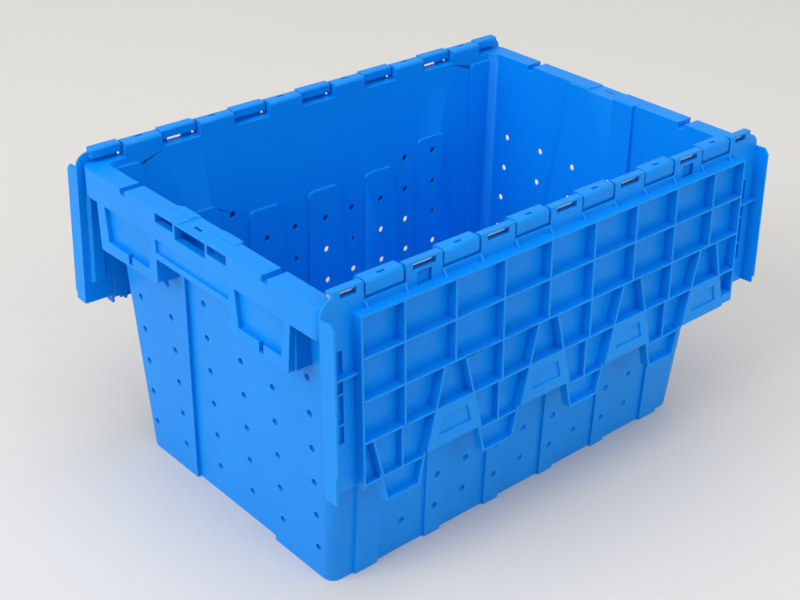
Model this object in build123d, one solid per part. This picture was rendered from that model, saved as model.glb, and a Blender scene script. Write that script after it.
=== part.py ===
from build123d import *
from math import atan, degrees
import os

# Attached-lid stacking crate in polypropylene: one perforated, tapered tub and two toothed half lids
# that hang outside the tub or fold over it and interlock. Millimetres.
# X runs along the length, Y across the width, Z up, origin at the middle of the base.
# The whole crate is the same after half a turn about Z.

# ---- tub -------------------------------------------------------------------------------------------
LENGTH = 600.0                 # over the two end rims
RIM_HALF_X = LENGTH / 2
RIM_HALF_Y = 196.5             # outer edge of the long rims
RIM_Z = 340.0                  # top of the rim flange
BASE_HALF_X = 259.5            # wall planes where they meet the ground
BASE_HALF_Y = 164.0
LEAN = 0.06                    # outward lean of the walls, per millimetre of height, so that tubs nest
WALL = 2.6
FLOOR = 3.0
CORNER_R = 12.0
FOOT_INSET = 16.0              # the base stands on a border of this width
FOOT_STEP = 1.5
OVER = 1.0                     # cutters run past faces, and joined shapes into each other, by this

CHANNEL_DEPTH = 3.2            # long-wall channels, sunk from outside
CHANNEL_PITCH = 85.3
CHANNEL_HALF_FOOT = 32.0
CHANNEL_HALF_TOP = 19.0
CHANNEL_TOP = 233.0
OUTER_CHANNEL_TOP = 254.0
CHANNEL_R = 7.0
POST_FOOT = 232.0              # corner posts start at this |x| on the base, and at POST_TOP at their top
POST_TOP = 240.0
POST_HEIGHT = 330.0
END_PANEL_DEPTH = 4.6          # one sunk panel in the middle of each short wall
END_PANEL_HALF_FOOT = 71.0
END_PANEL_HALF_TOP = 46.0

VENT_R = 3.9                   # vents, across the corners
VENT_SIDES = 8
VENT_ROWS = [36.8 + 40.45 * i for i in range(6)]
SHORT_COLUMN = 5               # rows of the vent columns in the middle of the long walls
LONG_VENT_PITCH = 42.65
END_VENT_PITCH = 57.4

# ---- rim and handles -------------------------------------------------------------------------------
FLANGE = 2.6                   # thickness of the rim flange
RIM_SKIRT = 2.8
LONG_SKIRT_Z = 326.0           # lower edge of the rim along the long walls
CORNER_SKIRT_Z = 308.0         # lower edge of the rim round the corners
CORNER_SKIRT_X = 271.0
APRON_Z = 255.0                # lower edge of the deep aprons beside each handle
APRON_BACK = 292.2             # |x| of the aprons' inner faces
APRON_IN = 60.5                # |y| where an apron starts, beside the handle
APRON_OUT = {1: 168.0, -1: 153.0}    # |y| where the wide (+1) and the narrow (-1) apron end
APRON_SLANT = 3.0
APRON_R = 4.0
WEB = 2.5                      # plates that tie the aprons to the wall
FIELD_SINK = 5.3               # sunk field inside an apron's border
FIELD_Z = (269.5, 325.0)
FIELD_IN = (75.0, 67.5)        # |y| of the field's inner side, at its lower and upper edge
FIELD_EDGE = {1: 12.0, -1: 7.0}      # border between the field and the apron's outer edge
FIELD_SLANT = 6.5
DRAIN_Y = (106.5, 113.0)       # gap in the lower border
BAND_SINK = 3.0                # sunk bands under the flange, either side of a small rib
BAND_RIB = (2.5, 5.5)
BAND_END = 30.5
KEY_NOTCH_Y = (112.0, 121.0)   # flange notches that take the lids' keys
KEY_NOTCH_Z = 333.5
SEAL_HALF = 19.5               # sunk field of the flange round the slot for a seal tag
SEAL_SINK = 1.1
SEAL_SLOT = (9.0, 13.0, 6.0)   # from and to this far in from the rim, and half its length
PAD_X = (276.2, 284.0)         # low pads on the flange's inner edge, beside the sunk field
PAD_Y = (20.5, 51.0)
PAD = 0.9
HANDLE_Z = 286.0               # lower edge of the handle plate
HANDLE_LIP_Z = 293.0
HANDLE_SINK = 2.7
MIDDLE_WINDOW = (-25.0, 25.0, 321.0, 336.5)     # y and z of the openings in the handle plate
SIDE_WINDOW = (28.0, 58.5, 327.0, 337.0)

# ---- hinge -----------------------------------------------------------------------------------------
HINGE_Y = 193.6
HINGE_Z = 350.0
ROD_R = 2.4
BORE_R = ROD_R + 0.08
SEGMENT = 46.2                 # hinge segments, lid and tub in turn
SEGMENT_GAP = 1.2              # half of the gap between neighbouring knuckles
KNUCKLE_R = 5.5                # from the hinge line to the top of the lids' knuckles
TUB_KNUCKLE_TOP = 5.3
TUB_KNUCKLE_BACK = 11.0        # from the hinge line to the inner and the outer face of the tub's knuckles
TUB_KNUCKLE_FRONT = 5.6
TUB_KNUCKLE_R = 4.0
LIP_DROP = 8.8                 # the outer face reaches this far below the hinge line
KNUCKLE_SLOT = (9.0, 3.0, 3.0) # length, width and depth of the core slot on top
END_KNUCKLE = 289.5            # |x| where the last lid knuckle ends
HANG_TILT = 2.5                # a hanging lid leans out by this, against the rim
OPEN_ANGLE = 270.0 - HANG_TILT

# ---- lids: r runs from the hinge line across the lid, h is the height above the hinge line -----------
PLATE_TOP = -3.5
PLATE = 2.5
PLATE_LOW = PLATE_TOP - PLATE
CREST = PLATE_LOW - 12.0       # lower edge of the full ribs
LOW_CREST = PLATE_LOW - 7.5    # lower edge of the ribs inside the teeth
TIP_CREST = -14.2              # lower edge of a tooth's tip, just above the other lid's shelf
SHELF_TOP = -14.5
RIB = 2.4
ROOT = 0.5                     # ribs run this far into the plate
LID_EDGE_R = 12.4              # lid edge beside the tub's knuckles
BOX_R = 20.7                   # first rib, parallel to the hinge
ROW_R = (62.2, 105.7, 149.2)
TIP_R = 225.5
CROSS_R = 196.7
SHELF_R = 190.7
LAST_SHELF = (176.7, 187.8)    # the last shelf stops short of the other lid
DISH_R = (159.0, 178.0)        # shallow dish on each shelf, and its half widths
DISH_HALF = (16.0, 21.0)
DISH = 2.0
BOX_HALF_X = 268.0
RIB_PITCH = 62.4
TOOTH_HALF = 50.3              # half width of a tooth at ROW_R[1]
TOOTH_SLOPE = 0.25
SKIRT_X = 303.5                # outer face of the lid's end skirts
SKIRT_T = 2.4
SKIRT_LOW = -22.8
SKIRT_STEP = 2.5               # the skirts get shallower by this past SKIRT_STEP_R
SKIRT_STEP_R = 168.0
SKIRT_R = (15.0, 21.0)         # the skirts start here, and reach their full depth here
SKIRT_START = PLATE_LOW - 12.0
LID_CORNER_R = 14.0            # in plan, beside the end knuckles
LONG_END_R = 198.0             # the end that reaches past the middle, and the end that stops short of it
SHORT_END_R = 176.0
SHORT_END_X = 290.0
KEY = 7.0                      # depth of the keys that drop into the flange notches
LID_KNUCKLE_FRONT = 4.3        # height of a knuckle's outer face above the hinge line
LID_KNUCKLE_FACE = 5.4         # r of that face at its foot
LID_KNUCKLE_R = 2.6
CHEEK = 8.0                    # width of the cheeks that hold the rod
COVER = 2.2                    # thickness of the wall over the rod
WINDOW_R = 3.0
SQUARE_HALF = 9.0              # square windows beside the second-last knuckles
SQUARE_R = 6.2
GUSSET = 6.0
GUSSET_T = 2.0
RIDGE_X = (277.5, 294.5)       # hollow ridges that locate the crate stacked on top
RIDGE_R = (48.0, 152.0)
RIDGE_H = 4.0
RIDGE_CHAMFER = 2.5
RIDGE_WALL = 3.5
RIDGE_STOPS = (96.5, 128.0)    # cross ribs inside the ridges, besides the one at the key
RIDGE_ROOF = 2.2


def box(x0, x1, y0, y1, z0, z1):
    """Box between two corners."""
    size = (abs(x1 - x0), abs(y1 - y0), abs(z1 - z0))
    return Pos((x0 + x1) / 2, (y0 + y1) / 2, (z0 + z1) / 2) * Box(*size)


def both_ends(shapes):
    """The shapes and their copies after half a turn about Z."""
    return shapes + [Rot(0, 0, 180) * shape for shape in shapes]


def outline_face(points, radius=0.0, rounded=()):
    """Face inside an outline, with the chosen corners rounded."""
    face = make_face(Polyline(*points, close=True))
    if not radius:
        return face
    return fillet([face.vertices().sort_by_distance((*points[i], 0))[0] for i in rounded], radius)


def along_x(points, x0, x1, radius=0.0, rounded=()):
    """Prism along X over an outline of (y, z) points."""
    plane = Plane(origin=(min(x0, x1), 0, 0), x_dir=(0, 1, 0), z_dir=(1, 0, 0))
    return extrude(plane * outline_face(points, radius, rounded), abs(x1 - x0))


def along_y(points, half, radius=0.0, rounded=()):
    """Prism along Y over an outline of (x, z) points."""
    plane = Plane(origin=(0, half, 0), x_dir=(1, 0, 0), z_dir=(0, -1, 0))
    return extrude(plane * outline_face(points, radius, rounded), 2 * half)


def upright(points, z0, z1, radius=0.0, rounded=()):
    """Prism along Z over an outline of (x, y) points."""
    return Pos(0, 0, z0) * extrude(outline_face(points, radius, rounded), z1 - z0)


# ---- tub -------------------------------------------------------------------------------------------
def leaning(half, z0, z1):
    """Upright outline that starts at the given half width and leans out like the walls."""
    top = half + LEAN * (z1 - z0)
    return [(-half, z0), (half, z0), (top, z1), (-top, z1)]


def tapered(shrink_x, shrink_y, z0, z1, radius):
    """Block inside the wall planes, moved in by the given amounts and leaning like the walls."""
    half_x = BASE_HALF_X - shrink_x + LEAN * z0
    half_y = BASE_HALF_Y - shrink_y + LEAN * z0
    lengthwise = along_x(leaning(half_y, z0, z1), -RIM_HALF_X, RIM_HALF_X)
    block = along_y(leaning(half_x, z0, z1), RIM_HALF_Y) & lengthwise
    slanted = block.edges().group_by(Axis.Z)[1]
    return fillet(slanted, radius)


def long_wall_channels(grow):
    """Prisms over the channels and corner posts of the long walls, grown sideways by the wall."""
    prisms = []
    foot, head = CHANNEL_HALF_FOOT + grow, CHANNEL_HALF_TOP + grow
    for i in range(-2, 3):
        x = i * CHANNEL_PITCH
        top = (OUTER_CHANNEL_TOP if abs(i) == 2 else CHANNEL_TOP) + grow
        outline = [(x - foot, -OVER), (x + foot, -OVER), (x + head, top), (x - head, top)]
        prisms.append(along_y(outline, RIM_HALF_Y, CHANNEL_R, (2, 3)))
    top = POST_HEIGHT + grow
    for side in (-1, 1):
        outer, inner_foot, inner_top = side * RIM_HALF_X, side * (POST_FOOT - grow), side * (POST_TOP - grow)
        outline = [(inner_foot, -OVER), (outer, -OVER), (outer, top), (inner_top, top)]
        prisms.append(along_y(outline, RIM_HALF_Y, CHANNEL_R, (3,)))
    return prisms


def end_wall_panel(grow):
    """Prism over the sunk panel of the short walls."""
    foot, head, top = END_PANEL_HALF_FOOT + grow, END_PANEL_HALF_TOP + grow, RIM_Z + OVER
    outline = [(-foot, -OVER), (foot, -OVER), (head, top), (-head, top)]
    return along_x(outline, -RIM_HALF_X, RIM_HALF_X)


def hollowed_block(inset, z0, radius, grow):
    """The walls' outer form (inset 0) or the cavity (inset WALL), with channels and panels sunk."""
    block = tapered(inset, inset, z0, RIM_Z, radius)
    core_y = tapered(inset, inset + CHANNEL_DEPTH, z0 - 2 * OVER, RIM_Z + OVER, radius)
    core_x = tapered(inset + END_PANEL_DEPTH, inset, z0 - 2 * OVER, RIM_Z + OVER, radius)
    sunk = [prism - core_y for prism in long_wall_channels(grow)]
    return block - [*sunk, end_wall_panel(grow) - core_x]


def foot_recess():
    """Shallow sunk field under the base, so that the tub stands on its border."""
    field = Rectangle(2 * (BASE_HALF_X - FOOT_INSET), 2 * (BASE_HALF_Y - FOOT_INSET))
    return extrude(field, FOOT_STEP)


def wall_vents():
    """Vents: staggered columns in the long walls, six even columns in the short ones."""
    vent = RegularPolygon(VENT_R, VENT_SIDES)
    across = Rot(90, 0, 0) * extrude(vent, RIM_HALF_Y, both=True)
    lengthwise = Rot(0, 90, 0) * extrude(vent, RIM_HALF_X, both=True)
    drills = []
    for column in range(-4, 5):
        rows = VENT_ROWS if abs(column) >= 3 else VENT_ROWS[:SHORT_COLUMN]
        drills += [Pos(column * LONG_VENT_PITCH, 0, z) * across for z in rows]
    for column in range(6):
        drills += [Pos(0, (column - 2.5) * END_VENT_PITCH, z) * lengthwise for z in VENT_ROWS]
    return drills


# ---- rim -------------------------------------------------------------------------------------------
def rim_ring():
    """Flange round the mouth, with a short skirt that is deeper round the corners."""
    outline = RectangleRounded(2 * RIM_HALF_X, 2 * RIM_HALF_Y, CORNER_R)
    half_x, half_y = RIM_HALF_X - RIM_SKIRT, RIM_HALF_Y - RIM_SKIRT
    inner = RectangleRounded(2 * half_x, 2 * half_y, CORNER_R - RIM_SKIRT)
    flange = Pos(0, 0, RIM_Z - FLANGE) * extrude(outline, FLANGE)
    skirt = Pos(0, 0, CORNER_SKIRT_Z) * extrude(outline - inner, RIM_Z - FLANGE - CORNER_SKIRT_Z)
    gap = RIM_HALF_Y + OVER
    skirt -= box(-CORNER_SKIRT_X, CORNER_SKIRT_X, -gap, gap, CORNER_SKIRT_Z - OVER, LONG_SKIRT_Z)
    return flange + skirt


def apron_outline(side):
    """Outline, in (y, z), of one deep apron. side is the sign of y."""
    start, out = side * APRON_IN, side * APRON_OUT[side]
    return [(start, RIM_Z), (start, APRON_Z + APRON_SLANT), (out - side * APRON_SLANT, APRON_Z),
            (out, CORNER_SKIRT_Z), (out, RIM_Z)]


def apron_sinks(side):
    """What is sunk into one apron: the field, the drain gap and the two bands under the flange."""
    front = -RIM_HALF_X - OVER
    field_back, band_back = -RIM_HALF_X + FIELD_SINK, -RIM_HALF_X + BAND_SINK
    low, high = FIELD_Z
    edge = APRON_OUT[side] - FIELD_EDGE[side]
    field = [(side * FIELD_IN[0], low), (side * (edge - FIELD_SLANT), low), (side * edge, high),
             (side * FIELD_IN[1], high)]
    drain_y = [side * y for y in DRAIN_Y]
    sinks = [along_x(field, front, field_back),
             box(front, field_back, *drain_y, APRON_Z + APRON_R, low + OVER)]
    bands = ((APRON_IN + OVER, edge + BAND_RIB[0]), (edge + BAND_RIB[1], edge + BAND_END))
    for y0, y1 in bands:
        sinks.append(box(front, band_back, side * y0, side * y1, high, RIM_Z + OVER))
    return sinks


def end_apron():
    """Aprons and handle plate at the -X end, with their sunk fields."""
    front, back = -RIM_HALF_X, -APRON_BACK
    plate = box(front, back, -APRON_IN, APRON_IN, HANDLE_Z, RIM_Z)
    plate -= box(front - OVER, front + HANDLE_SINK, -APRON_IN, APRON_IN, HANDLE_LIP_Z, RIM_Z + OVER)
    for side in (1, -1):
        plate += along_x(apron_outline(side), front, back, APRON_R, (1, 2))
        plate -= apron_sinks(side)
    return plate


def against_wall(y0, y1, z0, z1):
    """Block between the aprons and the short wall at the -X end."""
    block = box(-APRON_BACK - OVER, -BASE_HALF_X, y0, y1, z0, z1)
    return block - tapered(OVER, OVER, APRON_Z - CORNER_R, RIM_Z + OVER, CORNER_R)


def end_webs():
    """Plates between the aprons and the short wall, seen beside the hand space and at the corners."""
    edges = (APRON_IN, -APRON_IN - WEB, APRON_OUT[1] - WEB, -APRON_OUT[-1])
    return [against_wall(y, y + WEB, APRON_Z + APRON_SLANT, RIM_Z - OVER) for y in edges]


def key_troughs():
    """Troughs under the flange notches that take the lids' keys."""
    reach = [(side * (KEY_NOTCH_Y[0] - WEB), side * (KEY_NOTCH_Y[1] + WEB)) for side in (-1, 1)]
    return [against_wall(y0, y1, KEY_NOTCH_Z - WEB, RIM_Z - OVER) for y0, y1 in reach]


def flange_pads():
    """Low pads on the inner edge of the flange at the -X end."""
    reach = [(side * PAD_Y[0], side * PAD_Y[1]) for side in (-1, 1)]
    return [box(-PAD_X[1], -PAD_X[0], y0, y1, RIM_Z - OVER, RIM_Z + PAD) for y0, y1 in reach]


def end_cuts():
    """Openings cut last at the -X end: handle windows, flange notches and the seal tag's slot."""
    front, back = -RIM_HALF_X - OVER, -APRON_BACK + OVER
    top = RIM_Z + OVER
    near, far, half = SEAL_SLOT
    cuts = [box(front, back, *MIDDLE_WINDOW),
            box(front, -BASE_HALF_X, -SEAL_HALF, SEAL_HALF, RIM_Z - SEAL_SINK, top),
            box(-RIM_HALF_X + near, -RIM_HALF_X + far, -half, half, RIM_Z - FLANGE - OVER, top)]
    for side in (-1, 1):
        y0, y1, z0, z1 = SIDE_WINDOW
        cuts.append(box(front, back, side * y0, side * y1, z0, z1))
        y0, y1 = KEY_NOTCH_Y
        cuts.append(box(front, -BASE_HALF_X, side * y0, side * y1, KEY_NOTCH_Z, top))
    return cuts


# ---- hinge -----------------------------------------------------------------------------------------
def tub_knuckles():
    """The six knuckles of the +Y rim; each stands on the wall between two lid knuckles."""
    y, foot, top = HINGE_Y, RIM_Z - FLANGE, HINGE_Z + TUB_KNUCKLE_TOP
    back, front = y - TUB_KNUCKLE_BACK, y + TUB_KNUCKLE_FRONT
    outline = [(back - OVER, foot), (back, top), (front, top), (front, HINGE_Z - LIP_DROP),
               (RIM_HALF_Y + ROOT, RIM_Z), (RIM_HALF_Y, foot)]
    long, wide, deep = KNUCKLE_SLOT
    slot_y = y - OVER / 2
    knuckles = []
    for i in range(6):
        x = (i - 2.5) * 2 * SEGMENT
        half = SEGMENT / 2 - SEGMENT_GAP
        slot = box(x - long / 2, x + long / 2, slot_y - wide / 2, slot_y + wide / 2, top - deep, top + OVER)
        knuckles.append(along_x(outline, x - half, x + half, TUB_KNUCKLE_R, (1, 2)) - slot)
    return knuckles


def rod(side):
    return Pos(0, side * HINGE_Y, HINGE_Z) * Rot(0, 90, 0) * Cylinder(ROD_R, 2 * END_KNUCKLE)


def bore(side):
    return Pos(0, side * HINGE_Y, HINGE_Z) * Rot(0, 90, 0) * Cylinder(BORE_R, 2 * RIM_HALF_X)


def make_body():
    body = hollowed_block(0, 0, CORNER_R, 0) + rim_ring()
    body += both_ends([end_apron(), *end_webs(), *key_troughs()])
    body -= [hollowed_block(WALL, FLOOR, CORNER_R - WALL, WALL), foot_recess()]
    body += both_ends([*tub_knuckles(), *flange_pads()])
    return body - [*both_ends(end_cuts()), *wall_vents(), bore(1), bore(-1)]


# ---- lids ------------------------------------------------------------------------------------------
def tooth_half(r):
    """Half width of a tooth at distance r from the hinge line."""
    return TOOTH_HALF - TOOTH_SLOPE * (r - ROW_R[1])


def rib_x(k):
    return (k - 3.5) * RIB_PITCH


def trapezoid(x, r0, half0, r1, half1):
    """Outline centred on x that is half0 wide to each side at r0, and half1 at r1."""
    return [(x - half0, r0), (x + half0, r0), (x + half1, r1), (x - half1, r1)]


def lid_plate():
    """The plate with its teeth and end blocks."""
    half, edge, row = SKIRT_X, END_KNUCKLE - OVER, ROW_R[2]
    outline = [(-half, 0), (-edge, 0), (-edge, LID_EDGE_R), (edge, LID_EDGE_R), (edge, 0), (half, 0),
               (half, SHORT_END_R), (SHORT_END_X, SHORT_END_R + ROOT), (BOX_HALF_X + RIB, LAST_SHELF[0]),
               (BOX_HALF_X + RIB, row), (-BOX_HALF_X, row), (-BOX_HALF_X, LONG_END_R), (-half, LONG_END_R)]
    plate = upright(outline, PLATE_LOW, PLATE_TOP, LID_CORNER_R, (0, 5))
    start, first, last = row - OVER, rib_x(0), rib_x(8)
    blocks = [trapezoid(rib_x(k), start, tooth_half(start), TIP_R, tooth_half(TIP_R)) for k in (0, 2, 4, 6)]
    blocks.append([(-BOX_HALF_X - OVER, start), (first, start), (first, CROSS_R),
                   (-BOX_HALF_X - OVER, LONG_END_R)])
    end = LAST_SHELF[0] + RIB
    blocks.append([(last - tooth_half(start), start), (BOX_HALF_X, start), (BOX_HALF_X, end),
                   (last - tooth_half(end), end)])
    return plate + [upright(block, PLATE_LOW, PLATE_TOP) for block in blocks]


def wall_between(x0, r0, x1, r1, low):
    """Straight rib from one point of the plate to another, down to the given height."""
    path = Vector(x1 - x0, r1 - r0)
    side = Vector(-path.Y, path.X).normalized() * (RIB / 2)
    a, b = Vector(x0, r0), Vector(x1, r1)
    outline = [(p.X, p.Y) for p in (a + side, a - side, b - side, b + side)]
    return upright(outline, low, PLATE_LOW + ROOT)


def tooth_ribs(k):
    """Walls and low inner ribs of one tooth."""
    x, inset = rib_x(k), RIB / 2
    tip, cross = tooth_half(TIP_R), tooth_half(CROSS_R) - inset
    ribs = [wall_between(x - tip, TIP_R - inset, x + tip, TIP_R - inset, TIP_CREST),
            wall_between(x, ROW_R[2], x, CROSS_R, LOW_CREST),
            wall_between(x - cross, CROSS_R, x + cross, CROSS_R, LOW_CREST)]
    for side in (-1, 1):
        start = ROW_R[2] if (k, side) == (0, -1) else ROW_R[1]
        a, b, c = [(x + side * (tooth_half(r) - inset), r) for r in (start, SHELF_R, TIP_R)]
        ribs += [wall_between(*a, *b, CREST), wall_between(*b, *c, TIP_CREST)]
    return ribs


def lid_ribs():
    """Rib box under the plate: rows, columns, teeth and the two end blocks."""
    half, row1, row2, inset = BOX_HALF_X, ROW_R[1], ROW_R[2], RIB / 2
    end = LAST_SHELF[1]
    ribs = [wall_between(-half, r, half, r, CREST) for r in (BOX_R, *ROW_R)]
    ribs.append(wall_between(-half, BOX_R - inset, -half, LONG_END_R, CREST))
    ribs.append(wall_between(half, BOX_R - inset, half, end, CREST))
    for k in range(8):
        x = rib_x(k)
        ribs.append(wall_between(x, BOX_R, x, row2 if k % 2 == 0 else row1, CREST))
    for k in (0, 2, 4, 6):
        ribs += tooth_ribs(k)
    first = rib_x(0) - tooth_half(LONG_END_R)
    ribs.append(wall_between(-half, LONG_END_R - inset, first, LONG_END_R - inset, TIP_CREST))
    slope = [(rib_x(8) - tooth_half(r) + inset, r) for r in (row1, end)]
    ribs.append(wall_between(*slope[0], *slope[1], CREST))
    return ribs


def lid_shelves():
    """Ledges in the gaps between the teeth; the other lid's teeth rest on them."""
    shelves = []
    halves = [RIB_PITCH - tooth_half(r) + RIB for r in (ROW_R[2], SHELF_R)]
    for k in (1, 3, 5, 7):
        x = rib_x(k)
        shelf = upright(trapezoid(x, ROW_R[2], halves[0], SHELF_R, halves[1]), CREST, SHELF_TOP)
        dish = trapezoid(x, DISH_R[0], DISH_HALF[0], DISH_R[1], DISH_HALF[1])
        shelves.append(shelf - upright(dish, CREST - OVER, CREST + DISH))
    start, end = LAST_SHELF
    x = rib_x(8) - tooth_half(SHELF_R)
    shelves.append(box(x, BOX_HALF_X, start, end, CREST, SHELF_TOP))
    shelves.append(box(x, BOX_HALF_X, start, start + RIB, CREST, PLATE_LOW + OVER))
    return shelves


def knuckle_spans():
    """x reach of the seven lid knuckles."""
    inner = SEGMENT / 2 - SEGMENT_GAP
    middle = [(k * 2 * SEGMENT - inner, k * 2 * SEGMENT + inner) for k in range(-2, 3)]
    start = 5.5 * SEGMENT + SEGMENT_GAP
    return [(-END_KNUCKLE, -start), *middle, (start, END_KNUCKLE)]


def lid_knuckles():
    """Seven hinge knuckles: cheeks round the rod, a cover over it and a window between the cheeks."""
    flap = LID_EDGE_R + OVER
    outline = [(-KNUCKLE_R, PLATE_LOW), (flap, PLATE_LOW), (flap, PLATE_TOP), (LID_KNUCKLE_FACE, PLATE_TOP),
               (LID_KNUCKLE_FACE - OVER, LID_KNUCKLE_FRONT), (-KNUCKLE_R, LID_KNUCKLE_FRONT)]
    knuckles = []
    for x0, x1 in knuckle_spans():
        window = box(x0 + CHEEK, x1 - CHEEK, -KNUCKLE_R + COVER, WINDOW_R, PLATE_LOW - OVER,
                     LID_KNUCKLE_FRONT - OVER)
        knuckles.append(along_x(outline, x0, x1, LID_KNUCKLE_R, (5,)) - window)
    return knuckles


def lid_gussets():
    """Small triangular ribs between the knuckle flaps and the first rib, at every segment end."""
    flap, root = LID_EDGE_R + OVER, PLATE_LOW + ROOT
    outline = [(flap, root), (BOX_R, root), (BOX_R, PLATE_LOW - GUSSET), (flap, PLATE_LOW)]
    places = [side * (i + 0.5) * SEGMENT for i in range(6) for side in (-1, 1)]
    return [along_x(outline, x - GUSSET_T / 2, x + GUSSET_T / 2) for x in places]


def end_skirt(side, end):
    """Skirt over the tub's short rim, from the corner to the given end."""
    deep, shallow = SKIRT_LOW, SKIRT_LOW + SKIRT_STEP
    start, full = SKIRT_R
    outline = [(start, PLATE_TOP), (start, SKIRT_START), (full, deep), (SKIRT_STEP_R, deep),
               (SKIRT_STEP_R, shallow), (end, shallow), (end, PLATE_TOP)]
    return along_x(outline, side * (SKIRT_X - SKIRT_T), side * SKIRT_X)


def key_r():
    return HINGE_Y - sum(KEY_NOTCH_Y) / 2


def ridge(side):
    """Raised ridge on the smooth side of the lid."""
    a, b = [side * x for x in RIDGE_X]
    r0, r1 = RIDGE_R
    block = box(a, b, r0, r1, PLATE_TOP - ROOT, PLATE_TOP + RIDGE_H)
    return chamfer(block.edges().group_by(Axis.Z)[-1], RIDGE_CHAMFER)


def ridge_pockets(side):
    """Hollows under the ridge, parted by cross ribs."""
    x0, x1 = side * (RIDGE_X[0] + RIDGE_WALL), side * (RIDGE_X[1] - RIDGE_WALL)
    stops = (RIDGE_R[0] + RIDGE_WALL, key_r(), *RIDGE_STOPS, RIDGE_R[1] - RIDGE_WALL)
    top = PLATE_TOP + RIDGE_H - RIDGE_ROOF
    half = RIB / 2
    cells = zip(stops, stops[1:])
    return [box(x0, x1, low + half, high - half, PLATE_LOW - OVER, top) for low, high in cells]


def make_lid():
    """The -Y lid, lying closed over the tub, in the (x, r, h) frame of its hinge line."""
    added = [*lid_ribs(), *lid_shelves(), *lid_gussets(), *lid_knuckles()]
    cuts = [Rot(0, 90, 0) * Cylinder(BORE_R, 2 * RIM_HALF_X)]
    key, inset = key_r(), RIB / 2
    for side, end in ((-1, LONG_END_R), (1, SHORT_END_R)):
        added += [end_skirt(side, end), ridge(side)]
        added.append(box(side * (BOX_HALF_X - OVER), side * (SKIRT_X - OVER), key - inset, key + inset,
                         PLATE_LOW - KEY, PLATE_LOW + OVER))
        cuts += ridge_pockets(side)
        x = side * 4 * SEGMENT
        cuts.append(box(x - SQUARE_HALF, x + SQUARE_HALF, SQUARE_R, BOX_R - inset, PLATE_LOW - OVER,
                        PLATE_TOP + OVER))
    return lid_plate() + added - cuts


def hang(lid):
    """The lid turned over its hinge to hang outside the -Y wall."""
    return Pos(0, -HINGE_Y, HINGE_Z) * Rot(OPEN_ANGLE, 0, 0) * lid


def main():
    lid = hang(make_lid())
    parts = {
        "body": make_body(),
        "lid_front": lid,
        "lid_back": Rot(0, 0, 180) * lid,
        "hinge_rod_front": rod(-1),
        "hinge_rod_back": rod(1),
    }
    os.makedirs("parts", exist_ok=True)
    for name, shape in parts.items():
        print(name, len(shape.solids()), "solid", round(shape.volume / 1000, 1), "cm3")
        export_step(shape, f"parts/{name}.step")


main()
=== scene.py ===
import math
import bpy
from mathutils import Matrix, Vector

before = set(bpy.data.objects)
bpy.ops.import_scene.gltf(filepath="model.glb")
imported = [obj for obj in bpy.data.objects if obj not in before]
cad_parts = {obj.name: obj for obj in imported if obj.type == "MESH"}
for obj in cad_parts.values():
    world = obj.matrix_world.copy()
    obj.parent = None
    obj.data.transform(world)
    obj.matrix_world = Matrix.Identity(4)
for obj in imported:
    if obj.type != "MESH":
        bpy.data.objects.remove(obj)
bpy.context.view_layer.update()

# Attached-lid crate: materials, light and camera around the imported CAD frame. Metres, Z up.

MM = 0.001

# ---- camera: looks down on the -X, -Y corner -----------------------------------------------------
CAMERA_AZIMUTH = math.radians(42.14)      # from +Y towards +X
CAMERA_ELEVATION = math.radians(29.09)    # below the horizon
CAMERA_ROLL = math.radians(1.55)
CAMERA_DISTANCE = 1.596
CAMERA_AIM = Vector((-0.0205, 0.0133, 0.1630))
LENS_MM = 64.66                           # on a 36 mm wide sensor

# ---- colours (linear) and edge radius ------------------------------------------------------------
PP_BLUE = (0.000, 0.275, 0.86)
PP_DEEP = (0.000, 0.240, 0.79)
# paler blue for scuffs and rubbed wear, and also a painted highlight along the edges
PP_SCUFF_AND_EDGE_HIGHLIGHT = (0.03, 0.40, 0.95)
STEEL_BRIGHT = (0.62, 0.62, 0.63)
STEEL_DULL = (0.42, 0.41, 0.40)
FLOOR_GREY = (0.70, 0.685, 0.655)
FLOOR_SHADE = 0.985                       # the darker patches of the floor, against FLOOR_GREY

EDGE_RADIUS = 0.35 * MM                   # real softness of the moulded edges


# ---- node helpers --------------------------------------------------------------------------------
def new_material(name):
    material = bpy.data.materials.new(name)
    material.use_nodes = True
    return material, material.node_tree, material.node_tree.nodes["Principled BSDF"]


def add(tree, kind, inputs=None, **settings):
    """A node with its settings and the fixed values of its sockets."""
    node = tree.nodes.new(kind)
    for key, value in settings.items():
        setattr(node, key, value)
    for key, value in (inputs or {}).items():
        node.inputs[key].default_value = value
    return node


def object_noise(tree, scale, stretch=(1, 1, 1), detail=3.0, roughness=0.5):
    """Noise fixed to the object, in cycles per metre, stretched by the given factors."""
    where = add(tree, "ShaderNodeTexCoord")
    mapping = add(tree, "ShaderNodeMapping", {"Scale": stretch})
    noise = add(tree, "ShaderNodeTexNoise", {"Scale": scale, "Detail": detail, "Roughness": roughness})
    tree.links.new(where.outputs["Object"], mapping.inputs["Vector"])
    tree.links.new(mapping.outputs["Vector"], noise.inputs["Vector"])
    return noise.outputs["Fac"]


def remap(tree, value, low, high, out_low, out_high):
    node = add(tree, "ShaderNodeMapRange",
               {"From Min": low, "From Max": high, "To Min": out_low, "To Max": out_high})
    tree.links.new(value, node.inputs["Value"])
    return node.outputs["Result"]


def blend_colour(tree, factor, a, b):
    """Mix of two colours; each is a fixed colour or a socket."""
    node = add(tree, "ShaderNodeMix", data_type="RGBA")
    tree.links.new(factor, node.inputs["Factor"])
    for socket, colour in ((node.inputs[6], a), (node.inputs[7], b)):
        if isinstance(colour, tuple):
            socket.default_value = (*colour, 1)
        else:
            tree.links.new(colour, socket)
    return node.outputs[2]


def combine(tree, operation, a, b):
    node = add(tree, "ShaderNodeMath", operation=operation)
    for socket, value in zip(node.inputs, (a, b)):
        if isinstance(value, (int, float)):
            socket.default_value = value
        else:
            tree.links.new(value, socket)
    return node.outputs[0]


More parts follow.
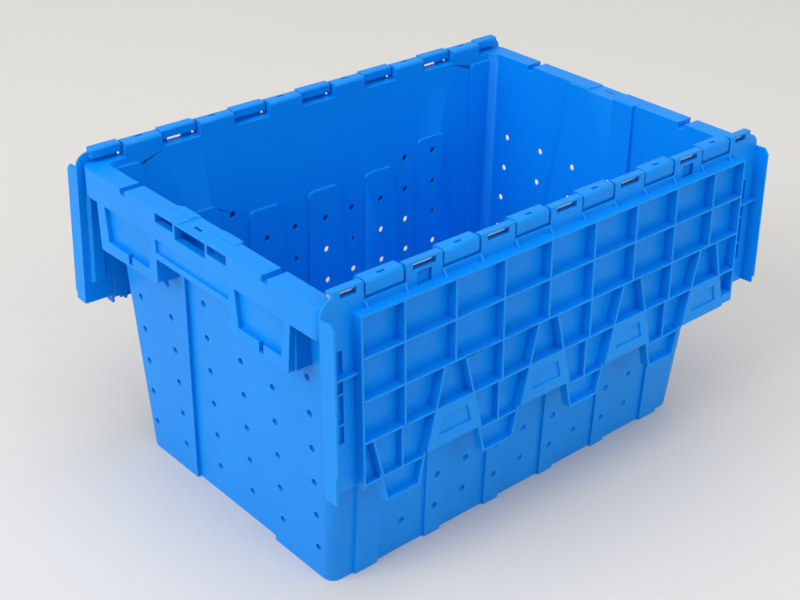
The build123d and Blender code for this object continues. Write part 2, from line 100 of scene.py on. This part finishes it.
def edge_mask(tree, radius):
    """1 on edges, 0 on flat faces: how far a rounded normal turns from the face's own."""
    rounded = add(tree, "ShaderNodeBevel", {"Radius": radius}, samples=4)
    own = add(tree, "ShaderNodeNewGeometry")
    dot = add(tree, "ShaderNodeVectorMath", operation="DOT_PRODUCT")
    tree.links.new(rounded.outputs["Normal"], dot.inputs[0])
    tree.links.new(own.outputs["Normal"], dot.inputs[1])
    return remap(tree, dot.outputs["Value"], 0.995, 0.80, 0.0, 1.0)


# ---- materials -----------------------------------------------------------------------------------
def moulded_plastic(name, seed_scale):
    """Injection-moulded polypropylene: satin skin, faint flow bands, fine grain, paler edges (a painted
    highlight on the edges, with rubbed wear).
    """
    material, tree, shader = new_material(name)
    clouds = remap(tree, object_noise(tree, seed_scale, detail=2.0), 0.35, 0.65, 0.0, 1.0)
    flow = remap(tree, object_noise(tree, 9.0, (1.0, 1.0, 0.12), 4.0), 0.3, 0.7, 0.0, 1.0)
    mottle = combine(tree, "MULTIPLY", combine(tree, "ADD", clouds, flow), 0.5)
    base = blend_colour(tree, mottle, PP_DEEP, PP_BLUE)
    # edges painted paler: partly a painted highlight on the edges, partly rubbed wear; the stretched
    # scuffs are real wear
    edge_highlight_and_wear = combine(tree, "MULTIPLY", edge_mask(tree, 0.9 * MM),
                   remap(tree, object_noise(tree, 70.0, detail=5.0), 0.40, 0.66, 0.12, 0.85))
    scuffs = remap(tree, object_noise(tree, 40.0, (0.3, 1.0, 9.0), 6.0, 0.7), 0.66, 0.80, 0.0, 0.22)
    scuffs_and_edge_highlight = combine(tree, "MAXIMUM", edge_highlight_and_wear, scuffs)
    tree.links.new(blend_colour(tree, scuffs_and_edge_highlight, base, PP_SCUFF_AND_EDGE_HIGHLIGHT), shader.inputs["Base Color"])

    grain = object_noise(tree, 1500.0, detail=2.0)
    peel = object_noise(tree, 85.0, detail=3.0)
    satin = combine(tree, "ADD", remap(tree, peel, 0.3, 0.7, 0.33, 0.43),
                    combine(tree, "MULTIPLY", scuffs_and_edge_highlight, 0.16))
    tree.links.new(combine(tree, "ADD", satin, remap(tree, grain, 0.3, 0.7, -0.03, 0.03)),
                   shader.inputs["Roughness"])

    rounded = add(tree, "ShaderNodeBevel", {"Radius": 0.45 * MM}, samples=4)
    waves = add(tree, "ShaderNodeBump", {"Strength": 0.10, "Distance": 1.2 * MM})
    skin = add(tree, "ShaderNodeBump", {"Strength": 0.10, "Distance": 0.12 * MM})
    tree.links.new(peel, waves.inputs["Height"])
    tree.links.new(rounded.outputs["Normal"], waves.inputs["Normal"])
    tree.links.new(grain, skin.inputs["Height"])
    tree.links.new(waves.outputs["Normal"], skin.inputs["Normal"])
    tree.links.new(skin.outputs["Normal"], shader.inputs["Normal"])
    shader.inputs["IOR"].default_value = 1.49
    shader.inputs["Specular IOR Level"].default_value = 0.20
    return material


def bright_steel(name):
    """Cold-drawn hinge rod: fine lines along X, a few dull patches."""
    material, tree, shader = new_material(name)
    lines = object_noise(tree, 900.0, (0.03, 1.0, 1.0), 3.0)
    patches = remap(tree, object_noise(tree, 60.0, detail=4.0), 0.35, 0.7, 0.0, 1.0)
    tree.links.new(blend_colour(tree, patches, STEEL_BRIGHT, STEEL_DULL), shader.inputs["Base Color"])
    tree.links.new(combine(tree, "ADD", remap(tree, lines, 0.3, 0.7, 0.18, 0.30),
                           combine(tree, "MULTIPLY", patches, 0.18)), shader.inputs["Roughness"])
    shader.inputs["Metallic"].default_value = 1.0
    bump = add(tree, "ShaderNodeBump", {"Strength": 0.15, "Distance": 0.05 * MM})
    tree.links.new(lines, bump.inputs["Height"])
    tree.links.new(bump.outputs["Normal"], shader.inputs["Normal"])
    return material


def floor_paper(name):
    material, tree, shader = new_material(name)
    shade = remap(tree, object_noise(tree, 1.5, detail=2.0), 0.3, 0.7, 0.0, 1.0)
    darker = tuple(FLOOR_SHADE * c for c in FLOOR_GREY)
    tree.links.new(blend_colour(tree, shade, darker, FLOOR_GREY), shader.inputs["Base Color"])
    shader.inputs["Roughness"].default_value = 0.9
    shader.inputs["Specular IOR Level"].default_value = 0.1
    return material


# ---- CAD nodes -----------------------------------------------------------------------------------
def finish_node(node, material, soften=0.0):
    """Gives a CAD node its material and, where asked, small real radii on its sharp edges."""
    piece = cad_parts[node]
    piece.data.materials.clear()
    piece.data.materials.append(material)
    if soften:
        weld = piece.modifiers.new("weld", "WELD")
        weld.merge_threshold = 0.002 * MM
        edge = piece.modifiers.new("edge_radius", "BEVEL")
        edge.limit_method = "ANGLE"
        edge.angle_limit = math.radians(40)
        edge.width = soften
        edge.segments = 2
        edge.harden_normals = True
        edge.use_clamp_overlap = False
        edge.miter_outer = "MITER_ARC"


finish_node("body", moulded_plastic("blue_pp_tub", 5.0), EDGE_RADIUS)
lid_plastic = moulded_plastic("blue_pp_lids", 6.0)
finish_node("lid_front", lid_plastic, EDGE_RADIUS)
finish_node("lid_back", lid_plastic, EDGE_RADIUS)
rod_steel = bright_steel("steel_rods")
finish_node("hinge_rod_front", rod_steel)
finish_node("hinge_rod_back", rod_steel)


# ---- studio --------------------------------------------------------------------------------------
def look_along(direction, roll=0.0):
    """Rotation of a camera or light that faces the direction, then rolls about it."""
    return direction.to_track_quat("-Z", "Y").to_matrix().to_4x4() @ Matrix.Rotation(roll, 4, "Z")


def softbox(name, aim, azimuth, elevation, distance, size, power):
    """Square area light that looks at aim from the given direction."""
    side, up = math.radians(azimuth), math.radians(elevation)
    away = Vector((-math.sin(side) * math.cos(up), -math.cos(side) * math.cos(up), math.sin(up)))
    data = bpy.data.lights.new(name, "AREA")
    data.shape = "SQUARE"
    data.size = size
    data.energy = power
    light = bpy.data.objects.new(name, data)
    light.matrix_world = Matrix.Translation(aim + away * distance) @ look_along(-away)
    bpy.context.scene.collection.objects.link(light)
    return light


def studio():
    middle = Vector((0, 0, 0.15))
    softbox("key_left", middle, 95, 32, 6.0, 4.0, 205)
    softbox("top", middle, 20, 82, 6.0, 5.0, 130)
    softbox("front_fill", middle, 0, 30, 6.0, 4.0, 75)
    world = bpy.data.worlds.new("studio")
    world.use_nodes = True
    background = world.node_tree.nodes["Background"]
    background.inputs["Color"].default_value = (1.0, 1.0, 1.0, 1)
    background.inputs["Strength"].default_value = 0.55
    bpy.context.scene.world = world


def floor():
    half = 6.0
    mesh = bpy.data.meshes.new("floor")
    corners = [(-half, -half, 0), (half, -half, 0), (half, half, 0), (-half, half, 0)]
    mesh.from_pydata(corners, [], [(0, 1, 2, 3)])
    plane = bpy.data.objects.new("floor", mesh)
    plane.data.materials.append(floor_paper("floor_paper"))
    bpy.context.scene.collection.objects.link(plane)


def camera():
    direction = Vector((math.sin(CAMERA_AZIMUTH) * math.cos(CAMERA_ELEVATION),
                        math.cos(CAMERA_AZIMUTH) * math.cos(CAMERA_ELEVATION),
                        -math.sin(CAMERA_ELEVATION)))
    data = bpy.data.cameras.new("camera")
    data.sensor_width = 36.0
    data.lens = LENS_MM
    data.clip_end = 50.0
    view = bpy.data.objects.new("camera", data)
    place = Matrix.Translation(CAMERA_AIM - direction * CAMERA_DISTANCE)
    view.matrix_world = place @ look_along(direction, CAMERA_ROLL)
    bpy.context.scene.collection.objects.link(view)
    bpy.context.scene.camera = view


studio()
floor()
camera()
bpy.context.scene.view_settings.view_transform = "Standard"
